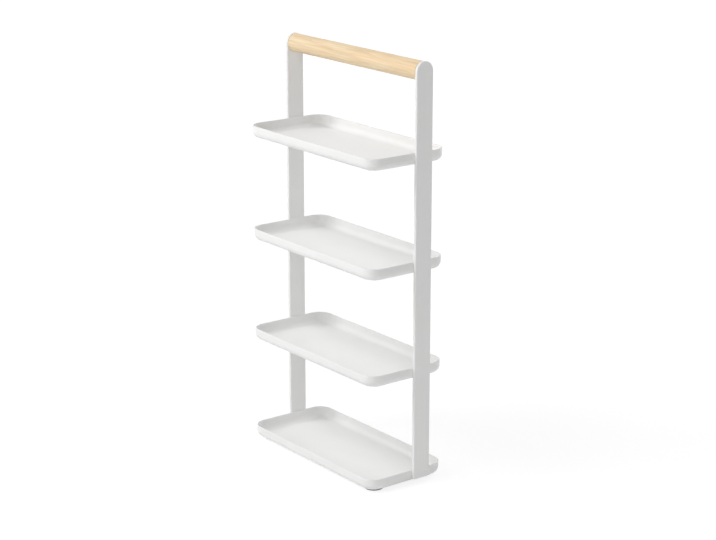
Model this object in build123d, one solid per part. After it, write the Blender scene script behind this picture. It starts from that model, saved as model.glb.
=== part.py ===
from build123d import *
import os

# Free-standing accessory stand: four shallow steel trays carried at their ends by two flat
# uprights, with a round wooden handle between the tops of the uprights.
# +X runs along the handle, +Y towards the back and +Z up. The origin is on the table, under
# the middle of the trays. Lengths are in millimetres.

# Trays: shallow pans drawn from sheet steel, all alike
tray_names = ["bottom_tray", "second_tray", "third_tray", "top_tray"]
tray_length = 179.0
tray_depth = 81.0
tray_height = 11.0
tray_sheet = 1.0
tray_corner_radius = 12.6
tray_bend_radius = 6.0
tray_rim_ease_share = 0.3
tier_pitch = 93.2

# Uprights: flat straps on the outside of the tray ends, set back from the middle
strap_width = 17.0
strap_thickness = 3.0
strap_setback = 12.4
strap_lift = 3.0
strap_corner_round = 1.0
strap_edge_ease = 0.4

# Handle: wooden dowel whose ends butt against the uprights
handle_diameter = 16.4
handle_rise = 78.2
handle_end_ease = 0.8

# Pins: driven through the uprights into the handle, flush outside
pin_diameter = 5.0
pin_grip = 22.0
pin_nose_chamfer = 0.8
pin_clearance = 0.02
pin_bore_spare = 1.5

# Feet: thin round pads under the corners of the bottom tray, on the flat inside its floor bend
foot_diameter = 16.0
foot_height = 2.0
foot_margin = 0.75

# Cuts run this far past the faces that they open
cut_overrun = 1.0

# Heights and places that follow from the sizes above
bottom_underside = foot_height
top_underside = bottom_underside + (len(tray_names) - 1) * tier_pitch
handle_height = top_underside + handle_rise
strap_foot = bottom_underside + strap_lift
tray_end = tray_length / 2
foot_inset = tray_bend_radius + foot_margin + foot_diameter / 2

# Local z of this plane runs along the handle, towards +X
handle_plane = Plane(origin=(0, strap_setback, handle_height), x_dir=(0, 1, 0), z_dir=(1, 0, 0))


def rounded_block(length, depth, height, corner_radius, bend_radius):
    """Block on z = 0 with rounded plan corners and a rounded lower edge."""
    block = extrude(RectangleRounded(length, depth, corner_radius), amount=height)
    lower_edges = block.faces().sort_by(Axis.Z)[0].edges()
    return fillet(lower_edges, bend_radius)


def make_tray(underside):
    """Pan of even sheet thickness whose floor bend runs round the corners."""
    outside = rounded_block(
        tray_length,
        tray_depth,
        tray_height,
        tray_corner_radius,
        tray_bend_radius,
    )
    inside = rounded_block(
        tray_length - 2 * tray_sheet,
        tray_depth - 2 * tray_sheet,
        tray_height,
        tray_corner_radius - tray_sheet,
        tray_bend_radius - tray_sheet,
    )
    pan = outside - Pos(0, 0, tray_sheet) * inside
    rim_edges = pan.faces().sort_by(Axis.Z)[-1].edges()
    pan = chamfer(rim_edges, tray_sheet * tray_rim_ease_share)
    return Pos(0, 0, underside) * pan


def handle_rod(diameter, start, end):
    """Round bar on the handle's axis, from start to end along X."""
    bar = Cylinder(diameter / 2, end - start)
    return handle_plane * Pos(0, 0, (start + end) / 2) * bar


def make_right_upright():
    """Strap with a half-round top about the handle's axis and eased edges."""
    straight = handle_height - strap_foot
    outline = Pos(strap_setback, strap_foot + straight / 2) * Rectangle(strap_width, straight)
    outline = fillet(outline.vertices().group_by(Axis.Y)[0], strap_corner_round)
    outline += Pos(strap_setback, handle_height) * Circle(strap_width / 2)
    strap = extrude(Plane.YZ.offset(tray_end) * outline, amount=strap_thickness)
    strap = chamfer(strap.faces().filter_by(Axis.X).edges(), strap_edge_ease)
    hole_diameter = pin_diameter + 2 * pin_clearance
    hole_end = tray_end + strap_thickness + cut_overrun
    return strap - handle_rod(hole_diameter, tray_end - cut_overrun, hole_end)


def make_handle():
    """Dowel with eased ends and a blind bore for the pin in each end."""
    dowel = handle_rod(handle_diameter, -tray_end, tray_end)
    dowel = chamfer(dowel.edges().filter_by(GeomType.CIRCLE), handle_end_ease)
    bore_diameter = pin_diameter + 2 * pin_clearance
    bore_bottom = tray_end - pin_grip - pin_bore_spare
    bore = handle_rod(bore_diameter, bore_bottom, tray_end + cut_overrun)
    return dowel - bore - mirror(bore, Plane.YZ)


def make_right_pin():
    """Plain dowel pin, flush with the upright's outer face, with a chamfered nose."""
    pin = handle_rod(pin_diameter, tray_end - pin_grip, tray_end + strap_thickness)
    nose_edge = pin.edges().filter_by(GeomType.CIRCLE).sort_by(Axis.X)[0]
    return chamfer(nose_edge, pin_nose_chamfer)


def make_foot(side, end):
    """Pad under one corner of the bottom tray: side and end are -1 or 1."""
    pad = Pos(0, 0, foot_height / 2) * Cylinder(foot_diameter / 2, foot_height)
    return Pos(end * (tray_end - foot_inset), side * (tray_depth / 2 - foot_inset), 0) * pad


# The pieces, by name
pieces = {}
for tier, tray_name in enumerate(tray_names):
    pieces[tray_name] = make_tray(bottom_underside + tier * tier_pitch)

pieces["right_upright"] = make_right_upright()
pieces["left_upright"] = mirror(pieces["right_upright"], Plane.YZ)
pieces["handle"] = make_handle()
pieces["right_handle_pin"] = make_right_pin()
pieces["left_handle_pin"] = mirror(pieces["right_handle_pin"], Plane.YZ)

for side_name, side in (("front", -1), ("back", 1)):
    for end_name, end in (("left", -1), ("right", 1)):
        pieces[f"{side_name}_{end_name}_foot"] = make_foot(side, end)

os.makedirs("parts", exist_ok=True)
for piece_name, piece in pieces.items():
    export_step(piece, os.path.join("parts", piece_name + ".step"))
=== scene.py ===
import math

import bpy
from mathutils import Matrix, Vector


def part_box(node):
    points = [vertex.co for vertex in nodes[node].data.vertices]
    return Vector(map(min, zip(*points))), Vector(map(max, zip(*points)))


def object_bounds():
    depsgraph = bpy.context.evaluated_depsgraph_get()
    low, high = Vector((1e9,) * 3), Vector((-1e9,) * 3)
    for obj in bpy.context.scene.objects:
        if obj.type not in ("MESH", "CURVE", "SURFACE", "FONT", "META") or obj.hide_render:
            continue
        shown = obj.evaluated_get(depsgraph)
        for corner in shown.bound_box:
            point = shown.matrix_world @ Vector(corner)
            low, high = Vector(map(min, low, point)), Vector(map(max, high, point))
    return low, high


# Looks of the accessory stand: white powder coat on the steel, pale straight-grained wood on the
# handle, dark rubber pads, and plain studio light on a pale floor.
# Lengths are in metres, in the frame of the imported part: +X along the handle, +Z up.
# Azimuths are in degrees round the stand: 0 is in front of it and 90 on its right.

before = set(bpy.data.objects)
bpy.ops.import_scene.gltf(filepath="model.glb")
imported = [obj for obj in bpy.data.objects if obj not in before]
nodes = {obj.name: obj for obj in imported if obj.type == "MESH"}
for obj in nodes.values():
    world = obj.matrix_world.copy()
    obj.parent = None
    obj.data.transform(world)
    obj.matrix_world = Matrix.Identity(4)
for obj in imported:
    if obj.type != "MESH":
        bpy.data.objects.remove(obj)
cad_low, cad_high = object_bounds()
stand_middle = (cad_low + cad_high) / 2

MM = 0.001
WHITE = (1, 1, 1, 1)

TRAYS = ["bottom_tray", "second_tray", "third_tray", "top_tray"]
UPRIGHTS = ["left_upright", "right_upright"]
PINS = ["left_handle_pin", "right_handle_pin"]
FEET = ["front_left_foot", "front_right_foot", "back_left_foot", "back_right_foot"]

# Noise: octaves of detail, and how much of each octave the next one keeps
SMOOTH_DETAIL = 1.0
PLAIN_DETAIL = 2.0
FINE_DETAIL = 3.0
EVEN_ROUGHNESS = 0.5
GRAIN_ROUGHNESS = 0.55

# Most of the noise lies between these values
NOISE_RANGE = (0.3, 0.7)

# Powder coat: a satin white with fine orange peel, a finer grain and faint clouds
COAT_WHITE = (0.866, 0.864, 0.857, 1)
COAT_SHADE = (0.848, 0.846, 0.838, 1)
COAT_ROUGHNESS = (0.40, 0.50)
COAT_PEEL_SIZE = 0.9 * MM
COAT_GRAIN_SIZE = 0.22 * MM
COAT_GRAIN_SHARE = 0.35
COAT_CLOUD_SIZE = 22 * MM
COAT_CLOUD_DETAIL = 4.0
COAT_CLOUD_ROUGHNESS = 0.6
COAT_RELIEF = 0.02 * MM

# Wood: growth rings about a pith line behind and below the dowel, a little out of line with it,
# and streaks, fibres and short dark pores along it. Grain sizes are along and across the dowel.
# Ranges are the values of the rings or the noise over which a mark fades in or out.
WOOD_PALE = (0.885, 0.730, 0.492, 1)
WOOD_WARM = (0.846, 0.640, 0.402, 1)
WOOD_LATE = (0.720, 0.510, 0.300, 1)
WOOD_ROUGHNESS = (0.42, 0.58)
WOOD_RELIEF = 0.03 * MM
PITH_OFFSET = Vector((0, 21 * MM, -33 * MM))
PITH_TILT = (0, math.radians(1.4), math.radians(0.9))
RING_STEP = 2.4 * MM
RING_WAVE_LENGTH = 60 * MM
RING_WAVE = 2.2
RING_WAVE_SCALE = 0.3
RING_RANGE = (0.35, 1.0)
RING_SHARE = 0.36
WOOD_CLOUD_GRAIN = (55 * MM, 9 * MM)
WOOD_CLOUD_RANGE = (0.36, 0.66)
STREAK_GRAIN = (46 * MM, 1.4 * MM)
STREAK_RANGE = (0.34, 0.54)
STREAK_TINT = (0.875, 0.835, 0.79, 1)
FIBRE_GRAIN = (16 * MM, 0.32 * MM)
FIBRE_RANGE = (0.30, 0.60)
FIBRE_TINT = (0.91, 0.89, 0.86, 1)
PORE_GRAIN = (3.2 * MM, 0.16 * MM)
PORE_RANGE = (0.26, 0.36)
PORE_SHARE = 0.40

# Blender's wave texture has 20 / tau rings to a unit at scale 1
ONE_RING_SCALE = math.tau / 20

# Bare steel of the pins, whose outer ends are coated, and rubber of the pads
STEEL_GREY = (0.60, 0.60, 0.59, 1)
STEEL_DULL = (0.52, 0.52, 0.51, 1)
STEEL_ROUGHNESS = (0.28, 0.42)
STEEL_GRAIN = (8 * MM, 0.4 * MM)
STEEL_RELIEF = 0.02 * MM
PIN_END_TOLERANCE = 0.01 * MM
RUBBER_DARK = (0.020, 0.020, 0.021, 1)
RUBBER_DUSTY = (0.040, 0.040, 0.041, 1)
RUBBER_ROUGHNESS = (0.65, 0.80)
RUBBER_GRAIN_SIZE = 0.35 * MM
RUBBER_DUST_RANGE = (0.40, 0.70)
RUBBER_RELIEF = 0.03 * MM

# Floor: it bounces light as pale paper does, and shows as white with a soft shadow. Its glow makes
# up for the lamps' light, which falls off from near the stand to far out.
FLOOR_SIZE = 60.0
FLOOR_BOUNCE = (0.92, 0.92, 0.915, 1)
FLOOR_SHOWN = (0.25, 0.25, 0.25, 1)
FLOOR_GLOW = (0.82, 0.95)
FLOOR_GLOW_REACH = (0.4, 2.4)

# Light: dim even surroundings and square softboxes, each at an azimuth and elevation
AMBIENT = (0.24, 0.241, 0.244, 1)
LAMP_SIZE = 1.2
LAMP_DISTANCE = 2.2
LAMPS = {
    "key_lamp": {"azimuth": -30, "elevation": 30, "watts": 20.7},
    "top_lamp": {"azimuth": -12, "elevation": 55, "watts": 14.8},
    "right_lamp": {"azimuth": 65, "elevation": 12, "watts": 8.0},
    "back_lamp": {"azimuth": 180, "elevation": 12, "watts": 11.0},
    "back_top_lamp": {"azimuth": 180, "elevation": 55, "watts": 8.8},
}

# Camera at the photograph's viewing angle, aimed at a point inside the stand
CAMERA_AZIMUTH = 52.7
CAMERA_ELEVATION = 16.2
CAMERA_DISTANCE = 1.683
CAMERA_AIM = Vector((0.0, 0.014, 0.1702))
CAMERA_LENS = 96.4


def add_node(tree, kind, values=None, links=None, **settings):
    """New shader node: values are its sockets' numbers, links their sources, settings its properties."""
    node = tree.nodes.new("ShaderNode" + kind)
    for name, value in settings.items():
        setattr(node, name, value)
    for socket, value in (values or {}).items():
        node.inputs[socket].default_value = value
    for socket, source in (links or {}).items():
        tree.links.new(source, node.inputs[socket])
    return node


def new_tree(name):
    """A new material and its empty node tree."""
    material = bpy.data.materials.new(name)
    material.use_nodes = True
    material.node_tree.nodes.clear()
    return material, material.node_tree


def place_of(tree, size, origin=(0, 0, 0), turn=(0, 0, 0)):
    """The point on the surface, counted from origin in steps of size, in turned axes."""
    point = add_node(tree, "TexCoord").outputs["Object"]
    values = {"Location": origin, "Rotation": turn, "Scale": size}
    return add_node(tree, "Mapping", values, {"Vector": point}, vector_type="TEXTURE").outputs[0]


def noise(tree, place, detail, roughness):
    """Noise about a half, with features about one step of the place in size."""
    values = {"Scale": 1.0, "Detail": detail, "Roughness": roughness}
    return add_node(tree, "TexNoise", values, {"Vector": place}).outputs["Fac"]


def even_noise(tree, size, detail=PLAIN_DETAIL, roughness=EVEN_ROUGHNESS):
    """Noise whose features have the same size in all directions."""
    return noise(tree, place_of(tree, (size, size, size)), detail, roughness)


def grain_noise(tree, grain, detail, origin=(0, 0, 0)):
    """Noise stretched along X: grain is its length and its width."""
    length, width = grain
    return noise(tree, place_of(tree, (length, width, width), origin), detail, GRAIN_ROUGHNESS)


def spread(tree, source, low, high, source_range=NOISE_RANGE):
    """Number that goes from low to high as the source goes through its range."""
    start, end = source_range
    values = {"From Min": start, "From Max": end, "To Min": low, "To Max": high}
    return add_node(tree, "MapRange", values, {"Value": source}).outputs["Result"]


def ramp(tree, source, first, second, source_range=NOISE_RANGE):
    """Colour that goes from first to second as the source goes through its range."""
    node = add_node(tree, "ValToRGB", None, {"Fac": source})
    for stop, position, colour in zip(node.color_ramp.elements, source_range, (first, second)):
        stop.position = position
        stop.color = colour
    return node.outputs["Color"]


def tint(tree, colour, factor):
    """Product of two colour sockets."""
    links = {"Color1": colour, "Color2": factor}
    return add_node(tree, "MixRGB", {"Fac": 1.0}, links, blend_type="MULTIPLY").outputs["Color"]


def stain(tree, colour, stain_colour, share):
    """Colour socket mixed with one colour by a share socket."""
    links = {"Fac": share, "Color1": colour}
    return add_node(tree, "MixRGB", {"Color2": stain_colour}, links).outputs["Color"]


def finish_surface(tree, colour, roughness, height, relief, **values):
    """Principled surface with that colour, roughness and relief."""
    bump = add_node(tree, "Bump", {"Strength": 1.0, "Distance": relief}, {"Height": height})
    links = {"Base Color": colour, "Roughness": roughness, "Normal": bump.outputs["Normal"]}
    surface = add_node(tree, "BsdfPrincipled", values, links)
    add_node(tree, "OutputMaterial", None, {"Surface": surface.outputs["BSDF"]})


def powder_coat():
    """Satin white powder coat: orange peel, fine grain and faint clouds in tone and gloss."""
    material, tree = new_tree("white_powder_coat")
    peel = even_noise(tree, COAT_PEEL_SIZE)
    grain = even_noise(tree, COAT_GRAIN_SIZE, SMOOTH_DETAIL)
    cloud = even_noise(tree, COAT_CLOUD_SIZE, COAT_CLOUD_DETAIL, COAT_CLOUD_ROUGHNESS)
    links = {0: grain, 2: peel}
    height = add_node(tree, "Math", {1: COAT_GRAIN_SHARE}, links, operation="MULTIPLY_ADD").outputs[0]
    colour = ramp(tree, cloud, COAT_SHADE, COAT_WHITE)
    roughness = spread(tree, cloud, *COAT_ROUGHNESS)
    finish_surface(tree, colour, roughness, height, COAT_RELIEF)
    return material


def growth_rings(tree, axis):
    """Saw-tooth rings round the pith line, from 0 in early wood to 1 in late wood, wavy along X."""
    size = (RING_WAVE_LENGTH, RING_STEP, RING_STEP)
    place = place_of(tree, size, axis + PITH_OFFSET, PITH_TILT)
    values = {
        "Scale": ONE_RING_SCALE,
        "Distortion": RING_WAVE,
        "Detail": PLAIN_DETAIL,
        "Detail Scale": RING_WAVE_SCALE,
    }
    settings = {"wave_type": "RINGS", "rings_direction": "X", "wave_profile": "SAW"}
    return add_node(tree, "TexWave", values, {"Vector": place}, **settings).outputs["Fac"]


def pale_wood():
    """Pale dowel wood with a clear matt lacquer."""
    material, tree = new_tree("pale_wood")
    low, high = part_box("handle")
    axis = (low + high) / 2
    rings = growth_rings(tree, axis)
    cloud = grain_noise(tree, WOOD_CLOUD_GRAIN, FINE_DETAIL, axis)
    streaks = grain_noise(tree, STREAK_GRAIN, FINE_DETAIL, axis)
    fibres = grain_noise(tree, FIBRE_GRAIN, FINE_DETAIL, axis)
    pores = grain_noise(tree, PORE_GRAIN, SMOOTH_DETAIL, axis)
    colour = ramp(tree, cloud, WOOD_PALE, WOOD_WARM, WOOD_CLOUD_RANGE)
    colour = stain(tree, colour, WOOD_LATE, spread(tree, rings, 0, RING_SHARE, RING_RANGE))
    colour = tint(tree, colour, ramp(tree, streaks, STREAK_TINT, WHITE, STREAK_RANGE))
    colour = tint(tree, colour, ramp(tree, fibres, FIBRE_TINT, WHITE, FIBRE_RANGE))
    colour = stain(tree, colour, WOOD_LATE, spread(tree, pores, PORE_SHARE, 0, PORE_RANGE))
    roughness = spread(tree, fibres, *WOOD_ROUGHNESS)
    finish_surface(tree, colour, roughness, fibres, WOOD_RELIEF)
    return material


def bare_steel():
    """Plain drawn steel of the pins, with fine scratches along X."""
    material, tree = new_tree("bare_steel")
    scratches = grain_noise(tree, STEEL_GRAIN, FINE_DETAIL)
    colour = ramp(tree, scratches, STEEL_DULL, STEEL_GREY)
    roughness = spread(tree, scratches, *STEEL_ROUGHNESS)
    finish_surface(tree, colour, roughness, scratches, STEEL_RELIEF, Metallic=1.0)
    return material


def pad_rubber():
    """Matt dark rubber with a fine grain and a little dust."""
    material, tree = new_tree("pad_rubber")
    grain = even_noise(tree, RUBBER_GRAIN_SIZE, FINE_DETAIL)
    colour = ramp(tree, grain, RUBBER_DARK, RUBBER_DUSTY, RUBBER_DUST_RANGE)
    roughness = spread(tree, grain, *RUBBER_ROUGHNESS)
    finish_surface(tree, colour, roughness, grain, RUBBER_RELIEF)
    return material


def dress_nodes():
    """Gives each piece its finish. The outer end of each pin lies under the coat."""
    coat, wood, steel, rubber = powder_coat(), pale_wood(), bare_steel(), pad_rubber()
    finishes = {name: [coat] for name in TRAYS + UPRIGHTS}
    finishes |= {name: [rubber] for name in FEET}
    finishes |= {name: [steel, coat] for name in PINS}
    finishes["handle"] = [wood]
    for name, materials in finishes.items():
        slots = nodes[name].data.materials
        slots.clear()
        for material in materials:
            slots.append(material)
    for name in PINS:
        pin = nodes[name].data
        outer_end = max(abs(vertex.co.x) for vertex in pin.vertices)
        for face in pin.polygons:
            face.material_index = int(abs(face.center.x) > outer_end - PIN_END_TOLERANCE)


def seen_share(tree):
    """1 for the rays that see the white background: camera, glossy and transmission. Others get 0."""
    rays = add_node(tree, "LightPath").outputs
    share = rays["Is Camera Ray"]
    for name in ("Is Glossy Ray", "Is Transmission Ray"):
        share = add_node(tree, "Math", None, {0: share, 1: rays[name]}, operation="MAXIMUM").outputs[0]
    return share


def make_floor():
    """Large pale floor that shows white and keeps the stand's shadow."""
    material, tree = new_tree("pale_floor")
    bounce = add_node(tree, "BsdfDiffuse", {"Color": FLOOR_BOUNCE})
    shown = add_node(tree, "BsdfDiffuse", {"Color": FLOOR_SHOWN})
    point = add_node(tree, "TexCoord").outputs["Object"]
    way_out = add_node(tree, "VectorMath", None, {0: point}, operation="LENGTH").outputs["Value"]
    strength = spread(tree, way_out, *FLOOR_GLOW, FLOOR_GLOW_REACH)
    glow = add_node(tree, "Emission", None, {"Strength": strength})
    white = add_node(tree, "AddShader", None, {0: shown.outputs[0], 1: glow.outputs[0]})
    links = {0: seen_share(tree), 1: bounce.outputs[0], 2: white.outputs[0]}
    mixed = add_node(tree, "MixShader", None, links)
    add_node(tree, "OutputMaterial", None, {"Surface": mixed.outputs[0]})
    half = FLOOR_SIZE / 2
    corners = [(-half, -half, 0), (half, -half, 0), (half, half, 0), (-half, half, 0)]
    mesh = bpy.data.meshes.new("floor")
    mesh.from_pydata(corners, [], [(0, 1, 2, 3)])
    mesh.materials.append(material)
    floor = bpy.data.objects.new("floor", mesh)
    bpy.context.scene.collection.objects.link(floor)


def stand_off(data, target, azimuth, elevation, distance):
    """Lamp or camera at that azimuth, elevation and distance from the target, aimed at it."""
    turn, rise = math.radians(azimuth), math.radians(elevation)
    away = Vector((math.sin(turn) * math.cos(rise), -math.cos(turn) * math.cos(rise), math.sin(rise)))
    item = bpy.data.objects.new(data.name, data)
    item.location = target + away * distance
    item.rotation_euler = (-away).to_track_quat("-Z", "Y").to_euler()
    bpy.context.scene.collection.objects.link(item)
    return item


def make_light():
    """Dim even surroundings, which show as white, and the softboxes."""
    world = bpy.data.worlds.new("studio")
    bpy.context.scene.world = world
    world.use_nodes = True
    tree = world.node_tree
    tree.nodes.clear()
    ambient = add_node(tree, "Background", {"Color": AMBIENT})
    white = add_node(tree, "Background", {"Color": WHITE})
    links = {0: seen_share(tree), 1: ambient.outputs[0], 2: white.outputs[0]}
    mixed = add_node(tree, "MixShader", None, links)
    add_node(tree, "OutputWorld", None, {"Surface": mixed.outputs[0]})
    for name, lamp in LAMPS.items():
        data = bpy.data.lights.new(name, "AREA")
        data.shape = "SQUARE"
        data.size = LAMP_SIZE
        data.energy = lamp["watts"]
        item = stand_off(data, stand_middle, lamp["azimuth"], lamp["elevation"], LAMP_DISTANCE)
        item.visible_camera = False


def make_camera():
    """Camera on the right of the front, a little above the stand."""
    data = bpy.data.cameras.new("camera")
    data.lens = CAMERA_LENS
    data.clip_end = FLOOR_SIZE
    camera = stand_off(data, CAMERA_AIM, CAMERA_AZIMUTH, CAMERA_ELEVATION, CAMERA_DISTANCE)
    bpy.context.scene.camera = camera


dress_nodes()
make_floor()
make_light()
make_camera()
bpy.context.scene.view_settings.view_transform = "Standard"
